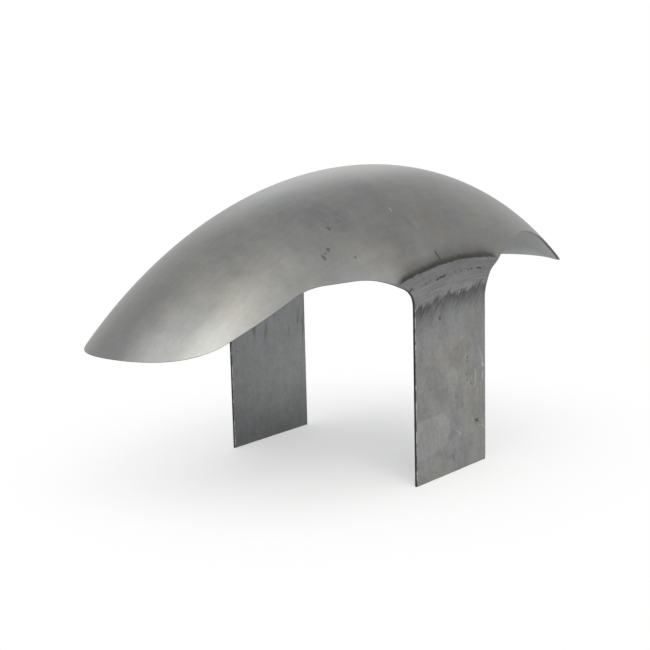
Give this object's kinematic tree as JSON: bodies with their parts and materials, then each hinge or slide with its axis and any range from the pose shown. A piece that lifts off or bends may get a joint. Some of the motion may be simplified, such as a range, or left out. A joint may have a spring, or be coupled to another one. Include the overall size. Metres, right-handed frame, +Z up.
{
  "type": "motorcycle front fender",
  "caption": "Short one-piece motorcycle front fender in bare steel sheet: a half-round shell with rounded ends and two flat undrilled legs for the fork.",
  "frame": {"origin": "on the floor that the two legs stand on, under the middle of the fender's length and width", "axes": "+X along the fender towards its broad low end, +Y across it from leg to leg, +Z up"},
  "size_m": [0.4484, 0.1606, 0.1982],
  "materials": {
    "bare_steel": "bare cold-rolled sheet, satin, lightly scratched and stained"
  },
  "bodies": {
    "root": {"fender": "bare_steel"}
  },
  "joints": []
}
